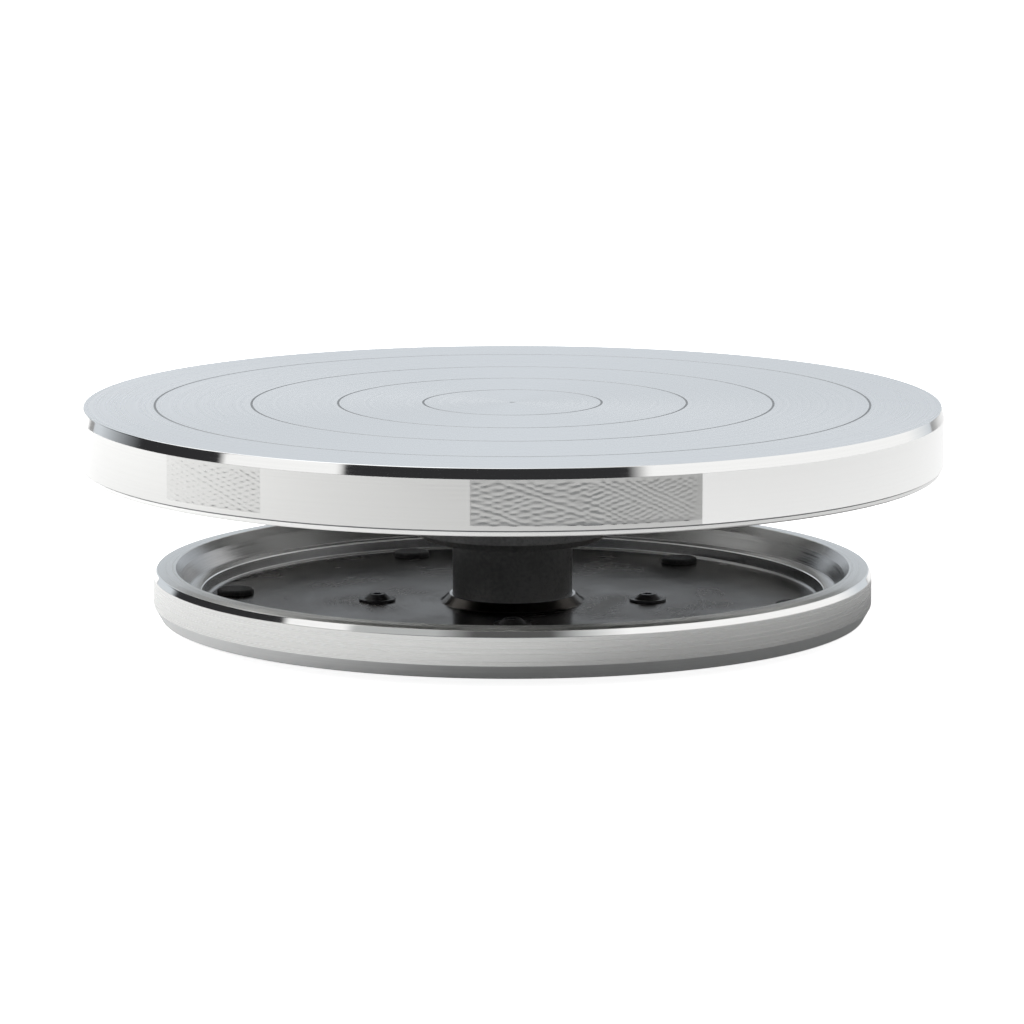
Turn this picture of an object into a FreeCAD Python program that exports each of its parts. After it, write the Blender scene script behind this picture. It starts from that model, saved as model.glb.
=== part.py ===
import FreeCAD, Part
import math
import os
import Sketcher

# Cake turntable: a cast and turned aluminium plate that spins on a low aluminium base.
# A spindle hangs from the plate in two deep-groove ball bearings, which sit in a black post
# bolted to the base's floor. Millimetres, +Z up. The origin is the middle of the circle on
# which the rubber feet stand, and the spin axis is Z.

DIMENSIONS = [
    # The plate
    ("plate_radius", 152.0), ("plate_top", 78.0), ("plate_web", 6.5), ("plate_skirt", 6.0),
    ("rim_strip_width", 1.0), ("rim_strip_depth", 3.6), ("rim_depth", 20.6), ("lip_depth", 22.7),
    ("lip_inset", 0.9), ("lip_round", 1.9), ("web_round", 4.0),
    ("mark_width", 0.8), ("mark_depth", 0.25), ("centre_mark_radius", 1.0), ("centre_mark_depth", 0.7),
    ("mark_one", 31.5), ("mark_two", 61.5), ("mark_three", 92.0), ("mark_four", 126.0),
    ("boss_radius", 34.0), ("plate_rib_width", 4.0), ("plate_rib_depth", 6.0), ("plate_ribs", 8),
    # The black flange that bolts to the plate's boss
    ("flange_bottom", 30.0), ("flange_top", 46.0), ("flange_radius", 34.0), ("flange_bevel", 2.3),
    ("recess_radius", 22.6), ("recess_ceiling", 40.2),
    ("flange_screw_circle", 27.2), ("flange_screws", 4), ("flange_screw_seat", 35.0),
    ("cap_head_radius", 3.5), ("cap_head_height", 4.0), ("cap_socket_flat", 1.5), ("cap_socket_depth", 2.0),
    ("cap_shank_radius", 2.0), ("cap_shank_length", 19.0), ("counterbore_radius", 3.85),
    ("tapped_clearance", 0.05), ("tapped_extra_depth", 2.0),
    # The spindle and what clips onto it
    ("spindle_radius", 7.5), ("spindle_bottom", 3.8), ("spindle_top", 59.6), ("spindle_chamfer", 0.6),
    ("shoulder_radius", 9.75), ("boss_bore_depth", 14.0), ("boss_bore_clearance", 0.05),
    ("clip_thickness", 1.0), ("clip_groove_depth", 0.5), ("clip_outer_radius", 9.7), ("clip_gap", 5.0),
    # One deep-groove ball bearing
    ("bearing_width", 11.0), ("bearing_radius", 17.5), ("pitch_radius", 12.5), ("ball_radius", 2.976),
    ("ball_count", 8), ("ball_play", 0.06), ("race_radius", 3.2),
    ("inner_land", 10.55), ("outer_land", 14.45),
    ("cage_inner", 11.5), ("cage_outer", 13.5), ("cage_half_height", 3.9), ("cage_pocket_radius", 3.2),
    ("shield_inner", 10.9), ("shield_thickness", 0.4), ("shield_recess", 0.5), ("ring_chamfer", 0.5),
    ("lower_bearing_seat", 6.5), ("upper_bearing_seat", 25.0),
    ("inner_spacer_radius", 9.8), ("outer_spacer_bore", 15.2),
    # The post
    ("post_radius", 21.2), ("post_top", 39.4), ("post_chamfer", 0.8), ("post_lip_radius", 14.5),
    ("post_flange_radius", 56.0), ("post_flange_bottom", 2.5), ("floor_underside", 4.5),
    ("wave_height", 0.8), ("wave_thickness", 0.25), ("wave_inner", 14.6), ("wave_outer", 17.3),
    ("bore_clip_thickness", 1.2), ("bore_clip_inner", 15.4), ("bore_clip_outer", 18.25),
    ("bore_groove_radius", 18.3), ("bore_clip_gap", 9.0),
    ("seal_thickness", 1.2), ("seal_inner", 10.05), ("seal_gap_below_top", 0.1),
    ("cap_wall", 1.0), ("cap_disc", 0.8),
    # The base
    ("base_radius", 127.1), ("band_top", 17.4), ("band_bottom", 7.6),
    ("base_foot_radius", 124.5), ("base_bottom", 3.0), ("bottom_ring_inner", 112.0),
    ("rim_shoulder_radius", 126.0), ("rim_shoulder_height", 19.6),
    ("rim_crown_radius", 123.4), ("rim_crown_height", 20.0),
    ("rim_crest_radius", 119.3), ("rim_crest_height", 20.2),
    ("wall_top_radius", 117.4), ("wall_top_height", 17.2),
    ("ledge_outer", 115.0), ("ledge_height", 11.6), ("ledge_inner", 110.0),
    ("floor_edge", 109.5), ("floor_top", 7.0), ("floor_round", 1.2), ("edge_round", 0.4),
    ("collar_bore", 21.3), ("collar_top_radius", 22.4), ("collar_top", 9.8), ("collar_foot_radius", 25.5),
    ("base_ribs", 6), ("base_rib_width", 4.0), ("base_rib_start", 60.0),
    # Screws in the floor and rubber feet
    ("post_screw_circle", 48.0), ("post_screws", 4), ("button_radius", 6.5), ("button_washer", 0.7),
    ("button_dome_radius", 4.8), ("button_flat_radius", 2.9), ("button_height", 2.4),
    ("button_socket_flat", 1.5), ("button_socket_depth", 1.3),
    ("post_shank_radius", 2.4), ("screw_clearance", 0.2),
    ("foot_circle", 100.0), ("foot_first_angle", 52.0), ("foot_radius", 9.0), ("foot_tread_radius", 7.5),
    ("foot_neck_radius", 4.0), ("foot_hole_clearance", 0.2),
    ("foot_head_radius", 6.5), ("foot_head_height", 1.8),
    ("foot_hollow_radius", 2.5), ("foot_hollow_depth", 2.0),
    # How far a rib sinks into the wall it joins, and how far a cut runs past the metal
    ("overlap", 1.0),
]
FOOT_COUNT = 6
FULL_TURN = 360
WAVE_COUNT = 3
WAVE_STEPS = 36
EDGE_TOLERANCE = 0.01


class Size:
    """A length that keeps both its number and the sheet formula that gives it."""

    def __init__(self, number, formula):
        self.number = number
        self.formula = formula

    def join(self, other, sign, number):
        formula = other.formula if isinstance(other, Size) else repr(float(other))
        return Size(number, f"({self.formula} {sign} {formula})")

    def __add__(self, other):
        return self.join(other, "+", self.number + number_of(other))

    def __sub__(self, other):
        return self.join(other, "-", self.number - number_of(other))

    def __mul__(self, other):
        return self.join(other, "*", self.number * number_of(other))

    def __truediv__(self, other):
        return self.join(other, "/", self.number / number_of(other))


def number_of(size):
    """The plain number of a Size or of a bare number."""
    return size.number if isinstance(size, Size) else float(size)


doc = FreeCAD.newDocument("CakeTurntable")
sheet = doc.addObject("Spreadsheet::Sheet", "Dims")
dims = {}
for row, (alias, value) in enumerate(DIMENSIONS, start=1):
    sheet.set(f"A{row}", alias)
    sheet.set(f"B{row}", str(value))
    sheet.setAlias(f"B{row}", alias)
    dims[alias] = Size(float(value), f"Dims.{alias}")
doc.recompute()


def d(alias):
    """One driving dimension by name."""
    return dims[alias]


AXIS = Size(0.0, "0")
PLATE_UNDERSIDE = d("plate_top") - d("plate_web")
LIP_BOTTOM = d("plate_top") - d("lip_depth")
RIM_BOTTOM = d("plate_top") - d("rim_depth")
LIP_RADIUS = d("plate_radius") - d("lip_inset")
SKIRT_INNER = d("plate_radius") - d("plate_skirt")
HALF_BEARING = d("bearing_width") / 2
LOWER_BEARING_TOP = d("lower_bearing_seat") + d("bearing_width")
UPPER_BEARING_TOP = d("upper_bearing_seat") + d("bearing_width")
BORE_CLIP_BOTTOM = UPPER_BEARING_TOP + d("wave_height")
BORE_CLIP_TOP = BORE_CLIP_BOTTOM + d("bore_clip_thickness")
FLOOR_THICKNESS = d("floor_top") - d("floor_underside")

sub_parts = []


def origin_item(body, role):
    """One of the body's own origin planes or axes."""
    return next(item for item in body.Origin.OriginFeatures if item.Role == role)


def new_body(label):
    """An empty body that will become the sub-part of that name."""
    body = doc.addObject("PartDesign::Body", label)
    body.Label = label
    sub_parts.append(body)
    return body


def new_sketch(body, name, plane, lift=None):
    """A sketch on one of the body's origin planes, lifted along the plane's normal if asked."""
    sketch = body.newObject("Sketcher::SketchObject", name)
    sketch.AttachmentSupport = [(origin_item(body, plane), "")]
    sketch.MapMode = "FlatFace"
    if lift is not None:
        sketch.AttachmentOffset = FreeCAD.Placement(FreeCAD.Vector(0, 0, lift.number), FreeCAD.Rotation())
        sketch.setExpression(".AttachmentOffset.Base.z", lift.formula)
    return sketch


def bind_point(sketch, line, end, corner):
    """Tie one end of a line to a corner whose two coordinates come from the sheet."""
    for kind, size in zip(("DistanceX", "DistanceY"), corner):
        index = sketch.addConstraint(Sketcher.Constraint(kind, line, end, size.number))
        if "Dims" in size.formula:
            sketch.setExpression(f"Constraints[{index}]", size.formula)


def draw_outline(sketch, corners):
    """Add one closed outline of straight lines through the corners."""
    points = [FreeCAD.Vector(x.number, y.number, 0) for x, y in corners]
    first = sketch.GeometryCount
    count = len(points)
    for i in range(count):
        sketch.addGeometry(Part.LineSegment(points[i], points[(i + 1) % count]))
    for i in range(count):
        joint = (first + i, 2, first + (i + 1) % count, 1)
        sketch.addConstraint(Sketcher.Constraint("Coincident", *joint))
        bind_point(sketch, first + i, 1, corners[i])


def draw_circle(sketch, centre, radius):
    """Add one circle with a bound centre and radius."""
    middle = FreeCAD.Vector(centre[0].number, centre[1].number, 0)
    circle = sketch.addGeometry(Part.Circle(middle, FreeCAD.Vector(0, 0, 1), radius.number))
    bind_point(sketch, circle, 3, centre)
    index = sketch.addConstraint(Sketcher.Constraint("Radius", circle, radius.number))
    sketch.setExpression(f"Constraints[{index}]", radius.formula)


def draw_axis(sketch, x, low, high):
    """Add an upright construction line, the first axis of the sketch."""
    bottom = FreeCAD.Vector(x.number, low.number, 0)
    top = FreeCAD.Vector(x.number, high.number, 0)
    line = sketch.addGeometry(Part.LineSegment(bottom, top), True)
    bind_point(sketch, line, 1, (x, low))
    bind_point(sketch, line, 2, (x, high))


def revolve(body, name, outlines, kind="Revolution", own_axis=None):
    """Turn closed outlines about Z, or about their own upright axis; Groove cuts instead."""
    sketch = new_sketch(body, name + "Profile", "XZ_Plane")
    for corners in outlines:
        draw_outline(sketch, corners)
    axis = "V_Axis"
    if own_axis is not None:
        draw_axis(sketch, *own_axis)
        axis = "Axis0"
    return turn_sketch(body, name, sketch, kind, axis)


def turn_sketch(body, name, sketch, kind, axis):
    """Make the revolution or groove of a finished sketch, and check that a groove really cuts."""
    before = body.Shape.Volume if kind == "Groove" else 0.0
    feature = body.newObject(f"PartDesign::{kind}", name)
    feature.Profile = sketch
    feature.ReferenceAxis = (sketch, [axis])
    feature.Angle = FULL_TURN
    doc.recompute()
    if kind == "Groove" and body.Shape.Volume >= before:
        raise RuntimeError(f"{name} cuts nothing")
    return feature


def extrude(body, name, sketch, length, kind="Pad", reverse=False):
    """Pad or pocket a sketch by a bound length, and check that material was added or removed."""
    before = body.Shape.Volume if body.Tip else 0.0
    feature = body.newObject(f"PartDesign::{kind}", name)
    feature.Profile = sketch
    feature.Length = length.number
    feature.setExpression("Length", length.formula)
    feature.Reversed = reverse
    doc.recompute()
    change = body.Shape.Volume - before
    if (kind == "Pad") != (change > 0):
        raise RuntimeError(f"{name} points the wrong way")
    return feature


def pattern(body, features, count, whole=False):
    """Repeat features, or the whole solid, evenly round Z."""
    copies = body.newObject("PartDesign::PolarPattern", features[-1].Name + "Pattern")
    copies.Originals = [] if whole else features
    if whole:
        copies.TransformMode = "Whole shape"
    copies.Axis = (origin_item(body, "Z_Axis"), [""])
    copies.Angle = FULL_TURN
    copies.Occurrences = int(number_of(count))
    if isinstance(count, Size):
        copies.setExpression("Occurrences", count.formula)
    body.Tip = copies
    doc.recompute()
    return copies


def ring_edges(shape, radius, height):
    """Names of the circular edges about Z with this radius at this height."""
    names = []
    for number, edge in enumerate(shape.Edges, start=1):
        curve = edge.Curve
        if not isinstance(curve, Part.Circle):
            continue
        centre = FreeCAD.Vector(0, 0, height.number)
        off_centre = curve.Center.distanceToPoint(centre)
        if abs(curve.Radius - radius.number) < EDGE_TOLERANCE and off_centre < EDGE_TOLERANCE:
            names.append(f"Edge{number}")
    return names


def soften(body, name, places, size, kind="Fillet"):
    """Fillet or chamfer the ring edges at the given (radius, height) places."""
    base = body.Tip
    edges = [edge for radius, height in places for edge in ring_edges(base.Shape, radius, height)]
    if len(edges) < len(places):
        raise RuntimeError(f"{name}: an edge is missing")
    feature = body.newObject(f"PartDesign::{kind}", name)
    feature.Base = (base, edges)
    field = "Radius" if kind == "Fillet" else "Size"
    setattr(feature, field, size.number)
    feature.setExpression(field, size.formula)
    doc.recompute()
    return feature


def box_corners(left, right, low, high):
    """The four corners of an upright rectangle."""
    return [(left, low), (right, low), (right, high), (left, high)]


def tube_part(label, inner, outer, low, high):
    """A plain turned ring."""
    body = new_body(label)
    revolve(body, label.title().replace("_", ""), [box_corners(inner, outer, low, high)])
    return body


def hexagon(centre_x, flat):
    """Corners of a hexagon, given half the distance across its flats."""
    reach = flat * (2 / math.sqrt(3))
    half = reach / 2
    return [(centre_x + reach, AXIS), (centre_x + half, flat), (centre_x - half, flat),
            (centre_x - reach, AXIS), (centre_x - half, flat * -1), (centre_x + half, flat * -1)]


def lift_body(body, height):
    """Stand a body made about its own middle at a bound height."""
    body.Placement.Base.z = height.number
    body.setExpression(".Placement.Base.z", height.formula)


# ---------------------------------------------------------------- the plate
def make_plate():
    body = new_body("turntable_plate")
    strip_radius = d("plate_radius") - d("rim_strip_width")
    bore = d("spindle_radius") + d("boss_bore_clearance")
    bore_top = d("flange_top") + d("boss_bore_depth")
    revolve(body, "PlateCasting", [[
        (AXIS, d("plate_top")), (strip_radius, d("plate_top")),
        (d("plate_radius"), d("plate_top") - d("rim_strip_depth")), (d("plate_radius"), RIM_BOTTOM),
        (LIP_RADIUS, RIM_BOTTOM), (LIP_RADIUS, LIP_BOTTOM), (SKIRT_INNER, LIP_BOTTOM),
        (SKIRT_INNER, PLATE_UNDERSIDE), (d("boss_radius"), PLATE_UNDERSIDE),
        (d("boss_radius"), d("flange_top")), (bore, d("flange_top")), (bore, bore_top), (AXIS, bore_top)]])
    soften(body, "RolledLip", [(LIP_RADIUS, LIP_BOTTOM)], d("lip_round"))
    inner_corners = [(SKIRT_INNER, PLATE_UNDERSIDE), (d("boss_radius"), PLATE_UNDERSIDE)]
    soften(body, "CastCorners", inner_corners, d("web_round"))
    cut_centring_marks(body)
    sketch = new_sketch(body, "PlateRibPlan", "XY_Plane", PLATE_UNDERSIDE - d("plate_rib_depth"))
    half = d("plate_rib_width") / 2
    start, end = d("boss_radius") - d("overlap"), SKIRT_INNER + d("overlap")
    draw_outline(sketch, box_corners(start, end, half * -1, half))
    rib = extrude(body, "PlateRib", sketch, d("plate_rib_depth") + d("overlap"))
    pattern(body, [rib], d("plate_ribs"))
    cut_boss_holes(body)


def cut_centring_marks(body):
    """Four turned centring rings in the top, and the small mark at its centre."""
    half = d("mark_width") / 2
    bottom = d("plate_top") - d("mark_depth")
    outlines = []
    for name in ("mark_one", "mark_two", "mark_three", "mark_four"):
        ring = d(name)
        outlines.append([(ring - half, d("plate_top")), (ring, bottom), (ring + half, d("plate_top"))])
    outlines.append([(AXIS, d("plate_top")), (AXIS, d("plate_top") - d("centre_mark_depth")),
                     (d("centre_mark_radius"), d("plate_top"))])
    revolve(body, "CentringMarks", outlines, kind="Groove")


def cut_boss_holes(body):
    """Tapped holes in the boss for the screws that hold the flange."""
    sketch = new_sketch(body, "BossHolePlan", "XY_Plane", d("flange_top"))
    draw_circle(sketch, (d("flange_screw_circle"), AXIS), d("cap_shank_radius") + d("tapped_clearance"))
    reach = d("cap_shank_length") - (d("flange_top") - d("flange_screw_seat")) + d("tapped_extra_depth")
    hole = extrude(body, "BossHole", sketch, reach, kind="Pocket", reverse=True)
    pattern(body, [hole], d("flange_screws"))


# ---------------------------------------------------------------- the flange and its screws
def make_flange():
    body = new_body("hub_flange")
    revolve(body, "FlangeTurning", [[
        (d("recess_radius"), d("flange_bottom")), (d("flange_radius"), d("flange_bottom")),
        (d("flange_radius"), d("flange_top")), (d("spindle_radius"), d("flange_top")),
        (d("spindle_radius"), d("recess_ceiling")), (d("recess_radius"), d("recess_ceiling"))]])
    soften(body, "FlangeBevel", [(d("flange_radius"), d("flange_bottom"))], d("flange_bevel"), "Chamfer")
    seat = new_sketch(body, "FlangeSeatPlan", "XY_Plane", d("flange_bottom"))
    draw_circle(seat, (d("flange_screw_circle"), AXIS), d("counterbore_radius"))
    depth = d("flange_screw_seat") - d("flange_bottom")
    counterbore = extrude(body, "FlangeSeat", seat, depth, kind="Pocket", reverse=True)
    pattern(body, [counterbore], d("flange_screws"))
    plan = new_sketch(body, "FlangeHolePlan", "XY_Plane", d("flange_bottom"))
    draw_circle(plan, (d("flange_screw_circle"), AXIS), d("cap_shank_radius") + d("screw_clearance"))
    through = d("flange_top") - d("flange_bottom")
    hole = extrude(body, "FlangeHole", plan, through, kind="Pocket", reverse=True)
    pattern(body, [hole], d("flange_screws"))


def make_flange_screws():
    body = new_body("flange_screws")
    centre = d("flange_screw_circle")
    head_bottom = d("flange_screw_seat") - d("cap_head_height")
    tip = d("flange_screw_seat") + d("cap_shank_length")
    revolve(body, "CapScrew", [[
        (centre, head_bottom), (centre + d("cap_head_radius"), head_bottom),
        (centre + d("cap_head_radius"), d("flange_screw_seat")),
        (centre + d("cap_shank_radius"), d("flange_screw_seat")), (centre + d("cap_shank_radius"), tip),
        (centre, tip)]], own_axis=(centre, head_bottom, tip))
    sketch = new_sketch(body, "CapSocketPlan", "XY_Plane", head_bottom)
    draw_outline(sketch, hexagon(centre, d("cap_socket_flat")))
    extrude(body, "CapSocket", sketch, d("cap_socket_depth"), kind="Pocket", reverse=True)
    pattern(body, [body.Tip], d("flange_screws"), whole=True)


# ---------------------------------------------------------------- the spindle and its clip
def make_spindle():
    body = new_body("spindle")
    groove_bottom = d("lower_bearing_seat") - d("clip_thickness")
    groove_radius = d("spindle_radius") - d("clip_groove_depth")
    revolve(body, "SpindleTurning", [[
        (AXIS, d("spindle_bottom")), (d("spindle_radius"), d("spindle_bottom")),
        (d("spindle_radius"), groove_bottom), (groove_radius, groove_bottom),
        (groove_radius, d("lower_bearing_seat")), (d("spindle_radius"), d("lower_bearing_seat")),
        (d("spindle_radius"), UPPER_BEARING_TOP), (d("shoulder_radius"), UPPER_BEARING_TOP),
        (d("shoulder_radius"), d("recess_ceiling")), (d("spindle_radius"), d("recess_ceiling")),
        (d("spindle_radius"), d("spindle_top")), (AXIS, d("spindle_top"))]])
    ends = [(d("spindle_radius"), d("spindle_bottom")), (d("spindle_radius"), d("spindle_top"))]
    soften(body, "SpindleEnds", ends, d("spindle_chamfer"), "Chamfer")


def make_clip(label, inner, outer, gap, bottom, thickness):
    """A flat retaining ring with a gap at +X."""
    body = tube_part(label, inner, outer, bottom, bottom + thickness)
    sketch = new_sketch(body, label + "_gap_plan", "XY_Plane", bottom)
    draw_outline(sketch, box_corners(inner - d("overlap"), outer + d("overlap"), gap / -2, gap / 2))
    extrude(body, label + "_gap", sketch, thickness, kind="Pocket", reverse=True)


# ---------------------------------------------------------------- the bearings
def make_race(label, inner, outer, race_centre, seat):
    """One bearing ring: a square ring with a round race turned in it."""
    body = tube_part(label, inner, outer, HALF_BEARING * -1, HALF_BEARING)
    plain_side = inner if race_centre.number > d("pitch_radius").number else outer
    places = [(plain_side, HALF_BEARING * -1), (plain_side, HALF_BEARING)]
    soften(body, label + "_chamfers", places, d("ring_chamfer"), "Chamfer")
    sketch = new_sketch(body, label + "_race_profile", "XZ_Plane")
    draw_circle(sketch, (race_centre, AXIS), d("race_radius"))
    turn_sketch(body, label + "_race", sketch, "Groove", "V_Axis")
    lift_body(body, seat + HALF_BEARING)


def make_balls(label, seat):
    """The ring of steel balls, each a solid of its own."""
    body = new_body(label)
    centre = d("pitch_radius")
    radius = d("ball_radius")
    sketch = new_sketch(body, label + "_profile", "XZ_Plane")
    circle = Part.Circle(FreeCAD.Vector(centre.number, 0, 0), FreeCAD.Vector(0, 0, 1), radius.number)
    arc = sketch.addGeometry(Part.ArcOfCircle(circle, -math.pi / 2, math.pi / 2))
    low = FreeCAD.Vector(centre.number, -radius.number, 0)
    high = FreeCAD.Vector(centre.number, radius.number, 0)
    chord = sketch.addGeometry(Part.LineSegment(high, low))
    sketch.addConstraint(Sketcher.Constraint("Coincident", arc, 2, chord, 1))
    sketch.addConstraint(Sketcher.Constraint("Coincident", arc, 1, chord, 2))
    sketch.addConstraint(Sketcher.Constraint("PointOnObject", arc, 3, chord))
    sketch.addConstraint(Sketcher.Constraint("Vertical", chord))
    bind_point(sketch, arc, 3, (centre, AXIS))
    index = sketch.addConstraint(Sketcher.Constraint("Radius", arc, radius.number))
    sketch.setExpression(f"Constraints[{index}]", radius.formula)
    draw_axis(sketch, centre, radius * -1, radius)
    ball = turn_sketch(body, label + "_ball", sketch, "Revolution", "Axis0")
    pattern(body, [ball], d("ball_count"), whole=True)
    lift_body(body, seat + HALF_BEARING)


def make_cage(label, seat):
    """The cage that keeps the balls apart, with one round pocket for each."""
    cage_height = d("cage_half_height")
    body = tube_part(label, d("cage_inner"), d("cage_outer"), cage_height * -1, cage_height)
    sketch = new_sketch(body, label + "_pocket_plan", "YZ_Plane", d("cage_inner") - d("overlap"))
    draw_circle(sketch, (AXIS, AXIS), d("cage_pocket_radius"))
    depth = d("cage_outer") - d("cage_inner") + d("overlap") * 2
    pocket = extrude(body, label + "_pocket", sketch, depth, kind="Pocket", reverse=True)
    pattern(body, [pocket], d("ball_count"))
    lift_body(body, seat + HALF_BEARING)


def make_shields(label, seat):
    """The two pressed shields of one bearing."""
    body = new_body(label)
    top = HALF_BEARING - d("shield_recess")
    bottom = top - d("shield_thickness")
    upper = box_corners(d("shield_inner"), d("outer_land"), bottom, top)
    lower = box_corners(d("shield_inner"), d("outer_land"), top * -1, bottom * -1)
    revolve(body, label + "_discs", [upper, lower])
    lift_body(body, seat + HALF_BEARING)


def make_bearing(place, seat):
    """All the pieces of one bearing, standing on its seat height."""
    reach = d("ball_radius") + d("ball_play")
    inner_centre = d("pitch_radius") - reach + d("race_radius")
    outer_centre = d("pitch_radius") + reach - d("race_radius")
    make_race(place + "_inner_ring", d("spindle_radius"), d("inner_land"), inner_centre, seat)
    make_race(place + "_outer_ring", d("outer_land"), d("bearing_radius"), outer_centre, seat)
    make_balls(place + "_balls", seat)
    make_cage(place + "_cage", seat)
    make_shields(place + "_shields", seat)


def make_wave_washer():
    """A thin spring washer that waves three times round between the bearing and its clip."""
    thickness = d("wave_thickness").number
    swing = (d("wave_height").number - thickness) / 2
    middle = UPPER_BEARING_TOP.number + d("wave_height").number / 2
    loops = []
    for radius in (d("wave_inner").number, d("wave_outer").number):
        for side in (-thickness / 2, thickness / 2):
            points = []
            for step in range(WAVE_STEPS):
                angle = 2 * math.pi * step / WAVE_STEPS
                height = middle + side + swing * math.cos(WAVE_COUNT * angle)
                points.append(FreeCAD.Vector(radius * math.cos(angle), radius * math.sin(angle), height))
            curve = Part.BSplineCurve()
            curve.interpolate(points, PeriodicFlag=True)
            loops.append(curve.toShape())
    inner_low, inner_high, outer_low, outer_high = loops
    pairs = [(inner_low, inner_high), (inner_high, outer_high),
             (outer_high, outer_low), (outer_low, inner_low)]
    faces = [Part.makeRuledSurface(first, second) for first, second in pairs]
    shell = Part.Shell([face for ruled in faces for face in ruled.Faces])
    washer = doc.addObject("Part::Feature", "wave_washer")
    washer.Label = "wave_washer"
    washer.Shape = Part.Solid(shell)
    sub_parts.append(washer)


# ---------------------------------------------------------------- the post
def make_post():
    body = new_body("hub_post")
    revolve(body, "PostTurning", [[
        (d("bearing_radius"), d("post_flange_bottom")), (d("post_flange_radius"), d("post_flange_bottom")),
        (d("post_flange_radius"), d("floor_underside")), (d("post_radius"), d("floor_underside")),
        (d("post_radius"), d("post_top")), (d("bearing_radius"), d("post_top")),
        (d("bearing_radius"), BORE_CLIP_TOP), (d("bore_groove_radius"), BORE_CLIP_TOP),
        (d("bore_groove_radius"), BORE_CLIP_BOTTOM), (d("bearing_radius"), BORE_CLIP_BOTTOM),
        (d("bearing_radius"), d("lower_bearing_seat")), (d("post_lip_radius"), d("lower_bearing_seat")),
        (d("post_lip_radius"), d("floor_underside")), (d("bearing_radius"), d("floor_underside"))]])
    soften(body, "PostTopEdge", [(d("post_radius"), d("post_top"))], d("post_chamfer"), "Chamfer")
    sketch = new_sketch(body, "PostHolePlan", "XY_Plane", d("post_flange_bottom"))
    draw_circle(sketch, (d("post_screw_circle"), AXIS), d("post_shank_radius") + d("tapped_clearance"))
    depth = d("floor_underside") - d("post_flange_bottom")
    hole = extrude(body, "PostHole", sketch, depth, kind="Pocket", reverse=True)
    pattern(body, [hole], d("post_screws"))


def make_bottom_cap():
    """A shallow pressed cup that closes the post from below."""
    body = new_body("bottom_cap")
    disc_top = d("post_flange_bottom") + d("cap_disc")
    wall = d("bearing_radius") - d("cap_wall")
    revolve(body, "CapPressing", [[
        (AXIS, d("post_flange_bottom")), (d("bearing_radius"), d("post_flange_bottom")),
        (d("bearing_radius"), d("floor_underside")), (wall, d("floor_underside")), (wall, disc_top),
        (AXIS, disc_top)]])


# ---------------------------------------------------------------- the base
def make_base():
    body = new_body("base_casting")
    revolve(body, "BaseCasting", [[
        (d("wall_top_radius"), d("wall_top_height")), (d("rim_crest_radius"), d("rim_crest_height")),
        (d("rim_crown_radius"), d("rim_crown_height")),
        (d("rim_shoulder_radius"), d("rim_shoulder_height")),
        (d("base_radius"), d("band_top")), (d("base_radius"), d("band_bottom")),
        (d("base_foot_radius"), d("base_bottom")), (d("bottom_ring_inner"), d("base_bottom")),
        (d("bottom_ring_inner"), d("floor_underside")), (d("collar_bore"), d("floor_underside")),
        (d("collar_bore"), d("collar_top")), (d("collar_top_radius"), d("collar_top")),
        (d("collar_foot_radius"), d("floor_top")), (d("floor_edge"), d("floor_top")),
        (d("ledge_inner"), d("ledge_height")), (d("ledge_outer"), d("ledge_height"))]])
    soften(body, "FloorCorner", [(d("floor_edge"), d("floor_top"))], d("floor_round"))
    edges = [(d("wall_top_radius"), d("wall_top_height")), (d("rim_crest_radius"), d("rim_crest_height")),
             (d("ledge_inner"), d("ledge_height"))]
    soften(body, "RimEdges", edges, d("edge_round"))
    sketch = new_sketch(body, "BaseRibPlan", "XY_Plane", d("base_bottom"))
    half = d("base_rib_width") / 2
    end = d("bottom_ring_inner") + d("overlap")
    draw_outline(sketch, box_corners(d("base_rib_start"), end, half * -1, half))
    rib = extrude(body, "BaseRib", sketch, d("floor_underside") - d("base_bottom") + d("overlap"))
    pattern(body, [rib], d("base_ribs"))
    drill_floor(body, "PostScrewHole", d("post_screw_circle"), AXIS,
                d("post_shank_radius") + d("screw_clearance"), d("post_screws"))
    angle = math.radians(d("foot_first_angle").number)
    drill_floor(body, "FootHole", Size(d("foot_circle").number * math.cos(angle),
                                       "(Dims.foot_circle * cos(Dims.foot_first_angle * 1 deg))"),
                Size(d("foot_circle").number * math.sin(angle),
                     "(Dims.foot_circle * sin(Dims.foot_first_angle * 1 deg))"),
                d("foot_neck_radius") + d("foot_hole_clearance"), FOOT_COUNT)


def drill_floor(body, name, x, y, radius, count):
    """Drill evenly spaced holes through the floor."""
    sketch = new_sketch(body, name + "Plan", "XY_Plane", d("floor_underside"))
    draw_circle(sketch, (x, y), radius)
    hole = extrude(body, name, sketch, FLOOR_THICKNESS, kind="Pocket", reverse=True)
    pattern(body, [hole], count)


def make_post_screws():
    body = new_body("post_screws")
    centre = d("post_screw_circle")
    washer_top = d("floor_top") + d("button_washer")
    head_top = d("floor_top") + d("button_height")
    revolve(body, "ButtonScrew", [[
        (centre, d("post_flange_bottom")), (centre + d("post_shank_radius"), d("post_flange_bottom")),
        (centre + d("post_shank_radius"), d("floor_top")), (centre + d("button_radius"), d("floor_top")),
        (centre + d("button_radius"), washer_top), (centre + d("button_dome_radius"), washer_top),
        (centre + d("button_flat_radius"), head_top), (centre, head_top)]],
        own_axis=(centre, d("post_flange_bottom"), head_top))
    sketch = new_sketch(body, "ButtonSocketPlan", "XY_Plane", head_top)
    draw_outline(sketch, hexagon(centre, d("button_socket_flat")))
    extrude(body, "ButtonSocket", sketch, d("button_socket_depth"), kind="Pocket")
    pattern(body, [body.Tip], d("post_screws"), whole=True)


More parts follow.
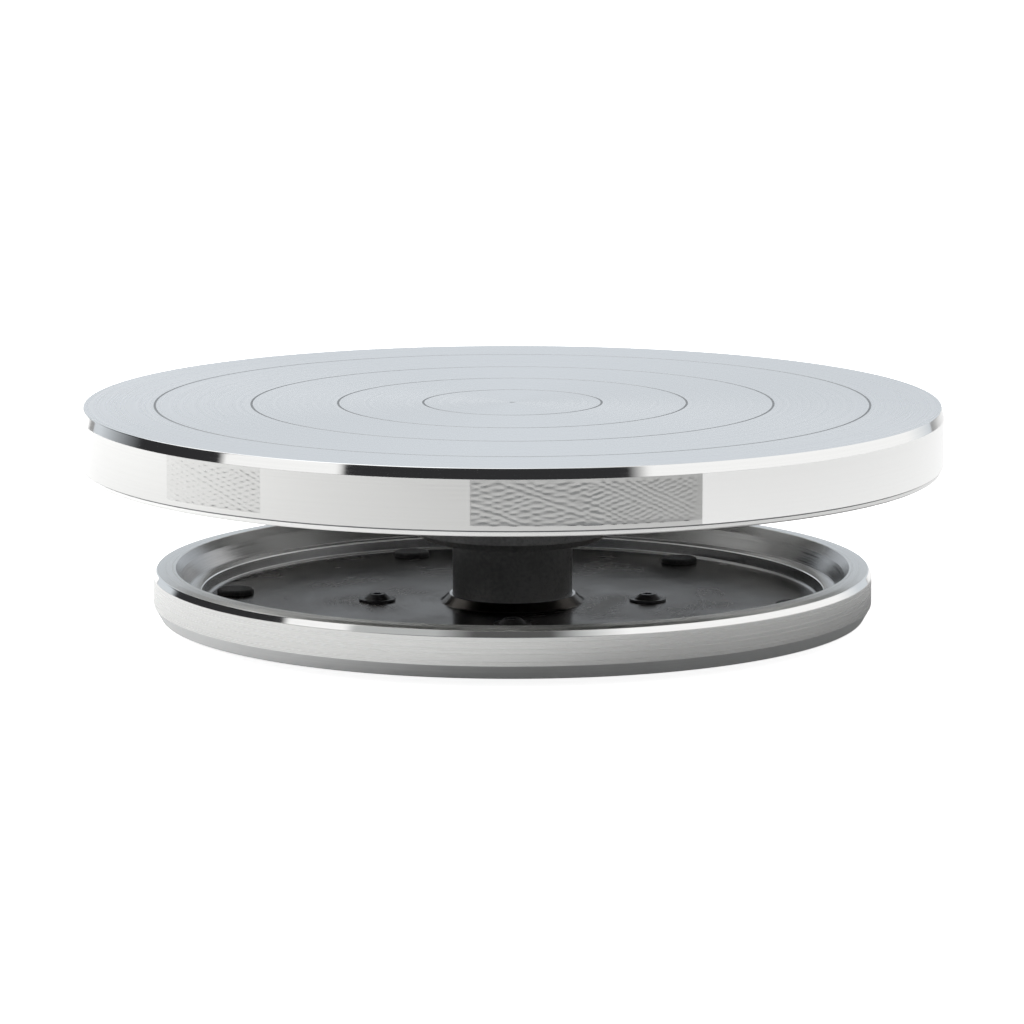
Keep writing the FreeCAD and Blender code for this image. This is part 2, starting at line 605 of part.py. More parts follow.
def make_foot(index):
    """A rubber foot with a neck through the floor and a head that holds it there."""
    label = f"rubber_foot_{index + 1}"
    body = new_body(label)
    head_top = d("floor_top") + d("foot_head_height")
    name = f"Foot{index + 1}"
    revolve(body, name, [[
        (d("foot_hollow_radius"), AXIS), (d("foot_tread_radius"), AXIS),
        (d("foot_radius"), d("floor_underside") / 2), (d("foot_radius"), d("floor_underside")),
        (d("foot_neck_radius"), d("floor_underside")),
        (d("foot_neck_radius"), d("floor_top")), (d("foot_head_radius"), d("floor_top")),
        (d("foot_head_radius"), head_top), (AXIS, head_top), (AXIS, d("foot_hollow_depth")),
        (d("foot_hollow_radius"), d("foot_hollow_depth"))]])
    soften(body, name + "Head", [(d("foot_head_radius"), head_top)], d("foot_head_height") / 2)
    turn = FULL_TURN / FOOT_COUNT * index
    angle = math.radians(d("foot_first_angle").number + turn)
    reach = d("foot_circle").number
    body.Placement.Base = FreeCAD.Vector(reach * math.cos(angle), reach * math.sin(angle), 0)
    direction = f"((Dims.foot_first_angle + {turn}) * 1 deg)"
    body.setExpression(".Placement.Base.x", f"Dims.foot_circle * cos{direction}")
    body.setExpression(".Placement.Base.y", f"Dims.foot_circle * sin{direction}")


make_plate()
make_flange()
make_flange_screws()
make_spindle()
CLIP_INNER = d("spindle_radius") - d("clip_groove_depth")
CLIP_BOTTOM = d("lower_bearing_seat") - d("clip_thickness")
make_clip("spindle_clip", CLIP_INNER, d("clip_outer_radius"), d("clip_gap"), CLIP_BOTTOM, d("clip_thickness"))
make_bearing("lower_bearing", d("lower_bearing_seat"))
make_bearing("upper_bearing", d("upper_bearing_seat"))
SPACER_ENDS = (LOWER_BEARING_TOP, d("upper_bearing_seat"))
tube_part("inner_spacer", d("spindle_radius"), d("inner_spacer_radius"), *SPACER_ENDS)
tube_part("outer_spacer", d("outer_spacer_bore"), d("bearing_radius"), *SPACER_ENDS)
make_wave_washer()
make_clip("bore_clip", d("bore_clip_inner"), d("bore_clip_outer"), d("bore_clip_gap"), BORE_CLIP_BOTTOM,
          d("bore_clip_thickness"))
SEAL_TOP = d("post_top") - d("seal_gap_below_top")
tube_part("dust_seal", d("seal_inner"), d("bearing_radius"), SEAL_TOP - d("seal_thickness"), SEAL_TOP)
make_post()
make_bottom_cap()
make_base()
make_post_screws()
for foot in range(FOOT_COUNT):
    make_foot(foot)
doc.recompute()

failed = [item.Label for item in doc.Objects if "Invalid" in item.State or "Error" in item.State]
if failed:
    raise RuntimeError("failed features: " + ", ".join(failed))

os.makedirs("parts", exist_ok=True)
for part in sub_parts:
    shape = part.Shape
    if shape.isNull() or not shape.isValid() or not shape.Solids:
        raise RuntimeError(part.Label + " is not a sound solid")
    shape.exportStep(f"parts/{part.Label}.step")
    print(f"{part.Label}: {len(shape.Solids)} solid(s), {shape.Volume:.0f} mm3")
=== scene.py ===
# %% [markdown]
# # A cake turntable
# A baker stands a cake on this plate and turns it with one hand while the other hand holds a
# palette knife still. The object is almost all turned aluminium, so the lesson is about two
# things: drawing bodies of revolution with honest edges, and giving bare metal the marks that
# a lathe leaves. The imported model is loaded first. It fixes every size and every position.

import math

import bmesh
import bpy
import numpy as np
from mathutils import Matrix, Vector


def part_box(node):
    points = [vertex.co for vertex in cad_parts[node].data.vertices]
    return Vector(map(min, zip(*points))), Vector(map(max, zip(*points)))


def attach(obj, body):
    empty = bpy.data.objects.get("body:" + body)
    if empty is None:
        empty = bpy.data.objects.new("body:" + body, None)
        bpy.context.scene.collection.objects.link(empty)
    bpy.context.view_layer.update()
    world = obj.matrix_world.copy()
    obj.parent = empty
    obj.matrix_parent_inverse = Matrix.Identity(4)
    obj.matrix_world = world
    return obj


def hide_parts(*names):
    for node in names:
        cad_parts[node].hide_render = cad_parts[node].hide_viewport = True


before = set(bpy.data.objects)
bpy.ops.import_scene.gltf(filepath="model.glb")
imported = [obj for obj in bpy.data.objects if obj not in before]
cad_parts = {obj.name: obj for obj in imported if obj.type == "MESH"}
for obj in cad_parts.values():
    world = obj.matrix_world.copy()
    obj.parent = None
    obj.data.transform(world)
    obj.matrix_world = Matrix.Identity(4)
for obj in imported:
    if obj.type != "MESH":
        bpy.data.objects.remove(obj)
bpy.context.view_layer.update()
MM = 0.001

# %% [markdown]
# ## Sizes read from the model
# Nothing is measured twice. The radius of a round node is half the width of its box, and its
# top and bottom are the box's. Details that a box can't tell, such as the depth of a groove,
# are named where they are used.

# %% Radius, bottom and top of the visible nodes


def round_size(node):
    """Radius, lowest and highest point of a node that is round about Z, in metres."""
    low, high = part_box(node)
    return (high.x - low.x) / 2, low.z, high.z


PLATE_RADIUS, BOSS_BOTTOM, PLATE_TOP = round_size("turntable_plate")
BASE_RADIUS, BASE_BOTTOM, BASE_TOP = round_size("base_casting")
FLANGE_RADIUS = round_size("hub_flange")[0]
for label, size in (("plate", PLATE_RADIUS), ("base", BASE_RADIUS), ("hub flange", FLANGE_RADIUS)):
    print(f"{label} radius: {size / MM:.1f} mm")

# %% [markdown]
# ## The camera
# A product like this is shot from low down with a long lens, so that the ellipses stay calm and
# both rims can be seen at once. The lens looks at a point on the spin axis, halfway between the
# plate's top and the table. It stands nearly two metres away and nine and a half degrees up.

# %% Camera
CAMERA_PLACE = Vector((-0.17, -1873.96, 347.93)) * MM
CAMERA_AIM = Vector((-0.17, 0.0, 38.71)) * MM
FOCAL_LENGTH = 188.566
lens = bpy.data.cameras.new("long_lens")
lens.sensor_width = 36.0
lens.lens = FOCAL_LENGTH
lens.clip_end = 60.0
camera = bpy.data.objects.new("camera", lens)
camera.location = CAMERA_PLACE
camera.rotation_euler = (CAMERA_AIM - CAMERA_PLACE).to_track_quat("-Z", "Y").to_euler()
bpy.context.scene.collection.objects.link(camera)
bpy.context.scene.camera = camera
print("camera to aim:", round((CAMERA_AIM - CAMERA_PLACE).length, 3), "m")

# %% [markdown]
# ## The floor
# The floor is a wide disc of matt white paper. A product shot burns the paper out to pure white,
# while the metal still shows its true tone. The same is done here: rays that come straight
# from the lens see the paper a little brighter, and the metal sees it as it is, with the
# object's own soft shadow on it.

# %% Floor
FLOOR_RADIUS = 14.0
PAPER_LIFT = 0.90


def node_of(tree, kind, place, **settings):
    """Add one shader node and set its plain properties."""
    node = tree.nodes.new(kind)
    node.location = place
    for name, value in settings.items():
        setattr(node, name, value)
    return node


def white_paper():
    """Matt white paper that burns out where the lens looks straight at it."""
    paint = bpy.data.materials.new("white_paper")
    paint.use_nodes = True
    tree = paint.node_tree
    shader = tree.nodes["Principled BSDF"]
    shader.inputs["Base Color"].default_value = (0.90, 0.90, 0.90, 1.0)
    shader.inputs["Roughness"].default_value = 0.9
    shader.inputs["Specular IOR Level"].default_value = 0.1
    lift = node_of(tree, "ShaderNodeEmission", (0, -420))
    lift.inputs["Strength"].default_value = PAPER_LIFT
    path = node_of(tree, "ShaderNodeLightPath", (0, 420))
    none = node_of(tree, "ShaderNodeEmission", (0, -560))
    none.inputs["Strength"].default_value = 0.0
    burn = node_of(tree, "ShaderNodeMixShader", (220, -300))
    tree.links.new(path.outputs["Is Camera Ray"], burn.inputs["Fac"])
    tree.links.new(none.outputs[0], burn.inputs[1])
    tree.links.new(lift.outputs[0], burn.inputs[2])
    both = node_of(tree, "ShaderNodeAddShader", (420, 0))
    tree.links.new(shader.outputs[0], both.inputs[0])
    tree.links.new(burn.outputs[0], both.inputs[1])
    tree.links.new(both.outputs[0], tree.nodes["Material Output"].inputs["Surface"])
    return paint


floor_mesh = bpy.data.meshes.new("floor")
disc = bmesh.new()
bmesh.ops.create_circle(disc, cap_ends=True, segments=96, radius=FLOOR_RADIUS)
disc.to_mesh(floor_mesh)
disc.free()
floor_mesh.materials.append(white_paper())
floor = bpy.data.objects.new("floor", floor_mesh)
bpy.context.scene.collection.objects.link(floor)
print("floor radius:", FLOOR_RADIUS, "m")

# %% [markdown]
# ## The room
# Bare metal has no colour of its own. It shows the room, so the room is designed as strips of
# tones that run once round the object: pale blue-white behind, where the top of the plate looks,
# dark on the lens's side, where the steep edges look, and two white walls to break that dark.
# The numbers give the direction in degrees from the lens's side, counted to the right. There are
# four such strips, one above the other: a dark skirting that draws the ripples on the plate's
# band, a paler belt that keeps the plate bright from behind, the low wall that the plate's
# polished edge looks at, and the high wall for the base's bevel. Above them is an even ceiling.

# %% Room
PALE, CEILING, WHITE = (0.66, 0.70, 0.74), (0.60, 0.62, 0.64), (1.0, 1.0, 1.0)
DIM, DUSK, DARK = (0.48, 0.49, 0.49), (0.095, 0.095, 0.095), (0.030, 0.030, 0.032)
SKIRTING = [(-180, PALE), (-140, PALE), (-115, DARK), (60, DARK), (84, WHITE), (128, WHITE),
            (145, PALE), (180, PALE)]
BELT = [(-180, PALE), (-150, PALE), (-142, DARK), (-84, DARK), (-82, WHITE), (-47, WHITE), (-45, PALE),
        (31, PALE), (37, WHITE), (128, WHITE), (146, PALE), (180, PALE)]
LOW_ROOM = [(-180, PALE), (-150, PALE), (-142, DARK), (-84, DARK), (-82, WHITE), (-47, WHITE), (-45, DARK),
            (31, DARK), (37, WHITE), (128, WHITE), (146, PALE), (180, PALE)]
HIGH_ROOM = [(-180, PALE), (-146, PALE), (-132, DUSK), (-84, DUSK), (-82, WHITE), (-61, WHITE),
             (-57, DIM), (-28, DIM), (-14, DUSK), (14, DUSK), (24, DIM), (42, WHITE), (128, WHITE),
             (142, PALE), (180, PALE)]
FILL = 0.33
# where each strip gives way to the next one up: the sines of the slopes at which that starts and ends
SKIRTING_TOP, BELT_TOP, LOW_TOP, HIGH_TOP = (0.12, 0.17), (0.25, 0.30), (0.50, 0.58), (0.80, 0.95)


def turn_share(tree, split):
    """How far round the object a direction lies, from 0 to 1, with the front at a half."""
    back = node_of(tree, "ShaderNodeMath", (-740, 160), operation="MULTIPLY")
    back.inputs[1].default_value = -1.0
    tree.links.new(split.outputs["Y"], back.inputs[0])
    turn = node_of(tree, "ShaderNodeMath", (-580, 160), operation="ARCTAN2")
    tree.links.new(split.outputs["X"], turn.inputs[0])
    tree.links.new(back.outputs[0], turn.inputs[1])
    share = node_of(tree, "ShaderNodeMath", (-420, 160), operation="MULTIPLY_ADD")
    share.inputs[1].default_value = 1 / (2 * math.pi)
    share.inputs[2].default_value = 0.5
    tree.links.new(turn.outputs[0], share.inputs[0])
    return share.outputs[0]


def tones_round(tree, share, tones, y):
    """The tone of the room for each direction, from a colour ramp that is wrapped round the object."""
    ramp = node_of(tree, "ShaderNodeValToRGB", (-260, y))
    stops = ramp.color_ramp.elements
    while len(stops) < len(tones):
        stops.new(1.0)
    for stop, (azimuth, tone) in zip(stops, tones):
        stop.position = azimuth / 360 + 0.5
        stop.color = (*tone, 1.0)
    tree.links.new(share, ramp.inputs[0])
    return ramp.outputs[0]


def blend_upwards(tree, split, low, high, slopes, x):
    """Mix one tone into another as the direction climbs; slopes are the sines where that starts and ends."""
    climb = node_of(tree, "ShaderNodeMapRange", (x, -160), interpolation_type="SMOOTHSTEP")
    climb.inputs["From Min"].default_value, climb.inputs["From Max"].default_value = slopes
    tree.links.new(split.outputs["Z"], climb.inputs["Value"])
    tone = node_of(tree, "ShaderNodeMix", (x + 160, 0), data_type="RGBA")
    tree.links.new(climb.outputs[0], tone.inputs["Factor"])
    for socket, value in (("A", low), ("B", high)):
        if isinstance(value, tuple):
            tone.inputs[socket].default_value = (*value, 1.0)
        else:
            tree.links.new(value, tone.inputs[socket])
    return tone.outputs["Result"]


def build_room():
    """The room that the metal shows; the lens itself sees plain white, and matt surfaces an even fill."""
    world = bpy.data.worlds.new("studio")
    world.use_nodes = True
    bpy.context.scene.world = world
    tree = world.node_tree
    tree.nodes.clear()
    place = node_of(tree, "ShaderNodeTexCoord", (-1080, 0))
    split = node_of(tree, "ShaderNodeSeparateXYZ", (-900, 0))
    tree.links.new(place.outputs["Generated"], split.inputs[0])
    share = turn_share(tree, split)
    skirting, belt = tones_round(tree, share, SKIRTING, -400), tones_round(tree, share, BELT, -660)
    low, high = tones_round(tree, share, LOW_ROOM, 160), tones_round(tree, share, HIGH_ROOM, 420)
    tone = blend_upwards(tree, split, skirting, belt, SKIRTING_TOP, -1020)
    tone = blend_upwards(tree, split, tone, low, BELT_TOP, -720)
    tone = blend_upwards(tree, split, tone, high, LOW_TOP, -420)
    tone = blend_upwards(tree, split, tone, CEILING, HIGH_TOP, -120)
    room = node_of(tree, "ShaderNodeBackground", (180, 0))
    tree.links.new(tone, room.inputs["Color"])
    fill = node_of(tree, "ShaderNodeBackground", (180, -160))
    fill.inputs["Color"].default_value = (FILL, FILL, FILL, 1.0)
    seen = node_of(tree, "ShaderNodeBackground", (180, -320))
    seen.inputs["Color"].default_value = (1.0, 1.0, 1.0, 1.0)
    path = node_of(tree, "ShaderNodeLightPath", (180, 380))
    soft = node_of(tree, "ShaderNodeMixShader", (400, 0))
    tree.links.new(path.outputs["Is Diffuse Ray"], soft.inputs["Fac"])
    tree.links.new(room.outputs[0], soft.inputs[1])
    tree.links.new(fill.outputs[0], soft.inputs[2])
    choose = node_of(tree, "ShaderNodeMixShader", (600, 0))
    tree.links.new(path.outputs["Is Camera Ray"], choose.inputs["Fac"])
    tree.links.new(soft.outputs[0], choose.inputs[1])
    tree.links.new(seen.outputs[0], choose.inputs[2])
    out = node_of(tree, "ShaderNodeOutputWorld", (800, 0))
    tree.links.new(choose.outputs[0], out.inputs["Surface"])


build_room()
bpy.context.scene.view_settings.view_transform = "Standard"
for strip, tones in (("skirting", SKIRTING), ("belt", BELT), ("low", LOW_ROOM), ("high", HIGH_ROOM)):
    print(f"{strip} strip: {len(tones)} tones")

# %% [markdown]
# ## Lights
# One large soft panel hangs overhead, behind and to the left. A second, smaller and stronger one
# stands lower on the same side, so that the object's shadow falls to the front right and the
# left side of the base is the lighter one. The metal doesn't mirror the second panel, because
# the walls of the room already give it its white shapes.

# %% Soft panels


def soft_panel(name, azimuth, distance, height, width, tall, power):
    """An area light standing round the object; azimuth 0 is the lens's side, positive to its right."""
    light = bpy.data.lights.new(name, "AREA")
    light.shape = "RECTANGLE"
    light.size = width
    light.size_y = tall
    light.energy = power
    panel = bpy.data.objects.new(name, light)
    turn = math.radians(azimuth)
    panel.location = (distance * math.sin(turn), -distance * math.cos(turn), height)
    aim = Vector((0, 0, 0.05))
    panel.rotation_euler = (aim - panel.location).to_track_quat("-Z", "Y").to_euler()
    panel.visible_camera = False
    bpy.context.scene.collection.objects.link(panel)
    return panel


soft_panel("key_panel", -125, 1.1, 2.1, 2.6, 2.6, 22)
left_panel = soft_panel("left_panel", -112, 1.8, 1.35, 1.4, 1.0, 52)
left_panel.visible_glossy = False

# %% [markdown]
# ## Drawing what a lathe makes
# A turned part is a profile spun round an axis. The profile is a short list of corners, and each
# corner says how far it is rounded. No real edge is perfectly sharp, and the small round is what
# catches the light. On each side of a round sits a holding point, so that smooth shading stays
# on the round and the flats stay flat.

# %% Profiles with rounded corners
ARC_STEPS = 5
SIDE_SHARE = 0.45
HOLD_SHARE, LONGEST_HOLD = 0.6, 0.25


def rounded_profile(corners):
    """Turn corners (radius, height, round, zone) into points (radius, height, zone) with real arcs, in mm.

    The zone of a corner names the stretch that starts there. A corner with no round stays single.
    """
    points = []
    count = len(corners)
    for i, (x, z, size, zone) in enumerate(corners):
        if size == 0 or i in (0, count - 1):
            points.append((x, z, zone))
            continue
        here = Vector((x, z))
        before = Vector(corners[i - 1][:2]) - here
        after = Vector(corners[i + 1][:2]) - here
        half = before.angle(after) / 2
        reach = min(size / math.tan(half), before.length * SIDE_SHARE, after.length * SIDE_SHARE)
        size = reach * math.tan(half)
        start = here + before.normalized() * reach
        end = here + after.normalized() * reach
        centre = here + (before.normalized() + after.normalized()).normalized() * (size / math.sin(half))
        hold = min(reach * HOLD_SHARE, LONGEST_HOLD)
        last_zone = corners[i - 1][3]
        points.append((*(start + before.normalized() * hold), last_zone))
        first = math.atan2(start.y - centre.y, start.x - centre.x)
        sweep = math.atan2(end.y - centre.y, end.x - centre.x) - first
        sweep = (sweep + math.pi) % (2 * math.pi) - math.pi
        for step in range(ARC_STEPS + 1):
            angle = first + sweep * step / ARC_STEPS
            points.append((centre.x + size * math.cos(angle), centre.y + size * math.sin(angle), zone))
        points.append((*(end + after.normalized() * hold), zone))
    return points


def spin(name, profile, columns, finishes, closed=False, shape=None):
    """Spin a profile about Z into a mesh. A point at radius 0 becomes one vertex.

    finishes maps each zone to a material. shape(angles, radius, height, zone) may return a change in
    radius for each column, in mm.
    """
    angles = np.arange(columns) * 2 * math.pi / columns
    cosines, sines = np.cos(angles), np.sin(angles)
    places, rings = [], []
    for radius, height, zone in profile:
        start = len(places)
        if radius < 1e-6:
            places.append((0.0, 0.0, height * MM))
            rings.append([start] * columns)
            continue
        reach = np.full(columns, radius)
        if shape is not None:
            reach = reach + shape(angles, radius, height, zone)
        places.extend(zip(reach * cosines * MM, reach * sines * MM, [height * MM] * columns))
        rings.append(list(range(start, start + columns)))
    zones = list(finishes)
    faces, slots = [], []
    pairs = list(zip(rings, rings[1:])) + ([(rings[-1], rings[0])] if closed else [])
    for row, (low, high) in enumerate(pairs):
        slot = zones.index(profile[row][2])
        for i in range(columns):
            j = (i + 1) % columns
            corners = [low[i], low[j], high[j], high[i]]
            corners = list(dict.fromkeys(corners))
            faces.append(corners)
            slots.append(slot)
    mesh = bpy.data.meshes.new(name)
    mesh.from_pydata(places, [], faces)
    for zone in zones:
        mesh.materials.append(finishes[zone])
    mesh.polygons.foreach_set("material_index", slots)
    mesh.polygons.foreach_set("use_smooth", [True] * len(faces))
    tidy = bmesh.new()
    tidy.from_mesh(mesh)
    bmesh.ops.recalc_face_normals(tidy, faces=tidy.faces)
    tidy.to_mesh(mesh)
    tidy.free()
    piece = bpy.data.objects.new(name, mesh)
    bpy.context.scene.collection.objects.link(piece)
    print(f"{name}: {len(mesh.vertices)} vertices, {len(mesh.polygons)} faces")
    return piece


def subdivided(low, high, rows, radius, zone):
    """Evenly spaced points up a straight wall, without its ends."""
    return [(radius, low + (high - low) * i / rows, zone) for i in range(1, rows)]


print("profile and spin helpers ready")

# %% [markdown]
# ## The marks a lathe leaves
# A turning tool cuts a fine thread of hills and valleys. Seen close, that is a set of rings, each
# a little deeper or paler than the next. One random number per ring gives them: noise that reads
# only the distance from the axis and the height, and never the angle. The same noise shades the
# colour, changes the gloss and lifts the surface, so the three always agree.

# %% Turned metal


def start_material(name, colour, metallic, roughness):
    """A Principled material with its uniform values set on the sockets."""
    material = bpy.data.materials.new(name)
    material.use_nodes = True
    shader = material.node_tree.nodes["Principled BSDF"]
    shader.inputs["Base Color"].default_value = (*colour, 1.0)
    shader.inputs["Metallic"].default_value = metallic
    shader.inputs["Roughness"].default_value = roughness
    return material, material.node_tree, shader


def turned_coordinate(tree, per_mm_out, per_mm_up):
    """A number that grows with distance from Z and with height: the same all the way round."""
    place = node_of(tree, "ShaderNodeTexCoord", (-1500, 0))
    split = node_of(tree, "ShaderNodeSeparateXYZ", (-1320, 0))
    tree.links.new(place.outputs["Object"], split.inputs[0])
    flat = node_of(tree, "ShaderNodeCombineXYZ", (-1140, 80))
    tree.links.new(split.outputs["X"], flat.inputs["X"])
    tree.links.new(split.outputs["Y"], flat.inputs["Y"])
    reach = node_of(tree, "ShaderNodeVectorMath", (-960, 80), operation="LENGTH")
    tree.links.new(flat.outputs[0], reach.inputs[0])
    out = node_of(tree, "ShaderNodeMath", (-780, 80), operation="MULTIPLY")
    out.inputs[1].default_value = per_mm_out / MM
    tree.links.new(reach.outputs["Value"], out.inputs[0])
    up = node_of(tree, "ShaderNodeMath", (-780, -80), operation="MULTIPLY_ADD")
    up.inputs[1].default_value = per_mm_up / MM
    tree.links.new(split.outputs["Z"], up.inputs[0])
    tree.links.new(out.outputs[0], up.inputs[2])
    return place, up.outputs[0]


def turned_metal(name, pale, dark, smooth, rough, per_mm, lift, swirl=0.0, clouds=0.0, cloud_scale=14.0,
                 grazing=1.0):
    """Bare metal with lathe rings.

    smooth and rough are the gloss limits, lift is the bump distance in mm, and grazing is how bright
    the metal stays at a flat angle: a dirty, oxidised surface loses light there.
    """
    material, tree, shader = start_material(name, pale, 1.0, smooth)
    shader.inputs["Specular Tint"].default_value = (grazing, grazing, grazing, 1.0)
    place, ring_number = turned_coordinate(tree, per_mm, per_mm)
    rings = node_of(tree, "ShaderNodeTexNoise", (-580, 0), noise_dimensions="1D")
    rings.inputs["Scale"].default_value = 1.0
    rings.inputs["Detail"].default_value = 3.0
    rings.inputs["Roughness"].default_value = 0.6
    tree.links.new(ring_number, rings.inputs["W"])
    drift = node_of(tree, "ShaderNodeTexNoise", (-580, -260))
    drift.inputs["Scale"].default_value = cloud_scale
    drift.inputs["Detail"].default_value = 5.0
    tree.links.new(place.outputs["Object"], drift.inputs["Vector"])
    blend = node_of(tree, "ShaderNodeMix", (-380, -120), data_type="FLOAT")
    blend.inputs["Factor"].default_value = clouds
    tree.links.new(rings.outputs[0], blend.inputs["A"])
    tree.links.new(drift.outputs[0], blend.inputs["B"])
    tone = node_of(tree, "ShaderNodeMix", (-180, 120), data_type="RGBA")
    tone.inputs["A"].default_value = (*dark, 1.0)
    tone.inputs["B"].default_value = (*pale, 1.0)
    tree.links.new(blend.outputs["Result"], tone.inputs["Factor"])
    tree.links.new(tone.outputs["Result"], shader.inputs["Base Color"])
    gloss = node_of(tree, "ShaderNodeMapRange", (-180, -120))
    gloss.inputs["From Min"].default_value = 0.3
    gloss.inputs["From Max"].default_value = 0.7
    gloss.inputs["To Min"].default_value = smooth
    gloss.inputs["To Max"].default_value = rough
    tree.links.new(blend.outputs["Result"], gloss.inputs["Value"])
    tree.links.new(gloss.outputs[0], shader.inputs["Roughness"])
    bump = node_of(tree, "ShaderNodeBump", (-180, -380))
    bump.inputs["Strength"].default_value = 1.0
    bump.inputs["Distance"].default_value = lift * MM
    tree.links.new(rings.outputs[0], bump.inputs["Height"])
    tree.links.new(bump.outputs[0], shader.inputs["Normal"])
    if swirl:
        shader.inputs["Anisotropic"].default_value = swirl
        tangent = node_of(tree, "ShaderNodeTangent", (-180, -560), direction_type="RADIAL", axis="Z")
        tree.links.new(tangent.outputs[0], shader.inputs["Tangent"])
    return material


face_metal = turned_metal("plate_face_metal", (0.90, 0.90, 0.90), (0.85, 0.855, 0.86), 0.25, 0.31,
                          0.7, 0.0015, swirl=0.55, clouds=0.25)
rim_metal = turned_metal("plate_rim_metal", (0.65, 0.65, 0.64), (0.59, 0.59, 0.58), 0.06, 0.12, 1.6, 0.002)
# A paler copy of the rim metal for the band's right-hand sector: its extra brightness is a painted
# reflection.
painted_reflection_rim_metal = turned_metal("painted_reflection_rim_metal", (0.97, 0.97, 0.96), (0.94, 0.94, 0.93), 0.05, 0.10,
                                1.2, 0.001)
# The chattered sectors' metal is rougher, and its darker colour is painted shade.
chatter_and_shade_metal = turned_metal("chatter_and_painted_shade_rim_metal", (0.64, 0.64, 0.63), (0.46, 0.46, 0.45), 0.30, 0.40,
                               1.1, 0.004, clouds=0.5, cloud_scale=260.0)
grained_metal = turned_metal("grained_rim_metal", (0.64, 0.64, 0.63), (0.54, 0.54, 0.53), 0.20, 0.28,
                             1.1, 0.004, clouds=0.5, cloud_scale=260.0)
lip_metal = turned_metal("plate_lip_metal", (0.78, 0.78, 0.77), (0.72, 0.72, 0.71), 0.14, 0.20, 1.2, 0.002)
edge_metal = turned_metal("polished_edge_metal", (0.93, 0.93, 0.92), (0.86, 0.86, 0.85), 0.04, 0.08,
                          1.2, 0.001)
satin_rim_metal = turned_metal("satin_rim_metal", (0.74, 0.74, 0.73), (0.66, 0.66, 0.65), 0.20, 0.28,
                               1.2, 0.002)
cast_metal = turned_metal("turned_underside_metal", (0.72, 0.72, 0.71), (0.62, 0.62, 0.61), 0.30, 0.50,
                          0.8, 0.010, clouds=0.5)
# The grooves are coloured far darker than the face: painted shade in the centre mark, the four rings and the
# groove under the band.
groove_shade_metal = turned_metal("centring_groove_painted_shade_metal", (0.36, 0.365, 0.37), (0.28, 0.285, 0.29), 0.40, 0.50,
                            3.0, 0.002)
print("metals:", [item.name for item in bpy.data.materials])

# %% [markdown]
# ## The plate
# The plate is a casting that is turned all over. Its top carries four fine V-shaped rings to
# centre a cake on. A steep polished strip breaks the top edge, then comes the upright band that
# the baker's fingers turn, and a rolled lip under it. The band isn't evenly smooth: where the
# cutter chattered it left shallow crossing ripples, and in other places it is clean. Those
# ripples are real geometry here, because a bump can't change an outline or catch a true
# highlight.

# %% Plate profile
RING_RADII = (31.5, 61.5, 92.0, 126.0)
RING_HALF_WIDTH = 0.4
RING_DEPTH = 0.25
CENTRE_MARK = (1.0, 0.7)
STRIP_WIDTH, STRIP_DEPTH = 1.0, 3.6
BAND_DEPTH, LIP_DEPTH, LIP_INSET, LIP_ROUND = 20.6, 22.7, 0.9, 1.9
LIP_GROOVE = 0.35
SKIRT, WEB, WEB_ROUND = 6.0, 6.5, 4.0
BAND_ROWS, ABOVE_ROWS, BELOW_ROWS = 52, 0.7, 0.6


def plate_profile():
    """The plate's section from its centre out along the top, round the edge and back underneath."""
    radius, top = PLATE_RADIUS / MM, PLATE_TOP / MM
    band_bottom, lip_bottom, web_bottom = top - BAND_DEPTH, top - LIP_DEPTH, top - WEB
    boss = FLANGE_RADIUS / MM
    corners = [(0, top - CENTRE_MARK[1], 0, "groove"), (CENTRE_MARK[0], top, 0.05, "face")]
    for ring in RING_RADII:
        corners += [(ring - RING_HALF_WIDTH, top, 0.04, "groove"), (ring, top - RING_DEPTH, 0.05, "groove"),
                    (ring + RING_HALF_WIDTH, top, 0.04, "face")]
    corners += [(radius - STRIP_WIDTH, top, 0.35, "edge"), (radius, top - STRIP_DEPTH, 0.25, "rim")]
    wall = [(r, z, 0, zone) for r, z, zone in
            subdivided(top - STRIP_DEPTH - ABOVE_ROWS, band_bottom + BELOW_ROWS, BAND_ROWS, radius, "rim")]
    corners += wall
    lip = radius - LIP_INSET
    corners += [(radius, band_bottom, 0.15, "groove"), (lip - LIP_GROOVE, band_bottom - 0.1, 0, "groove"),
                (lip, band_bottom - 0.45, 0.1, "lip"), (lip, lip_bottom, LIP_ROUND, "lip"),
                (radius - SKIRT, lip_bottom, 0.3, "cast"),
                (radius - SKIRT, web_bottom, WEB_ROUND, "cast"), (boss, web_bottom, WEB_ROUND, "cast"),
                (boss, BOSS_BOTTOM / MM, 0.4, "cast"), (0, BOSS_BOTTOM / MM, 0, "cast")]
    return rounded_profile(corners)


print("points in the plate's profile:", len(plate_profile()))

# %% [markdown]
# The ripples are two sets of slanting waves that cross, which gives short lens-shaped hollows.
# Slow noise bends the waves, so that no two hollows are alike. The cutter's chatter
# changed as it went round, so the band has sectors: deep crossing hollows, finer diamonds, long
# thin lines, and nearly smooth stretches. Each sector has its own depth and pitch. The chatter
# stops a little short of the band's two edges.

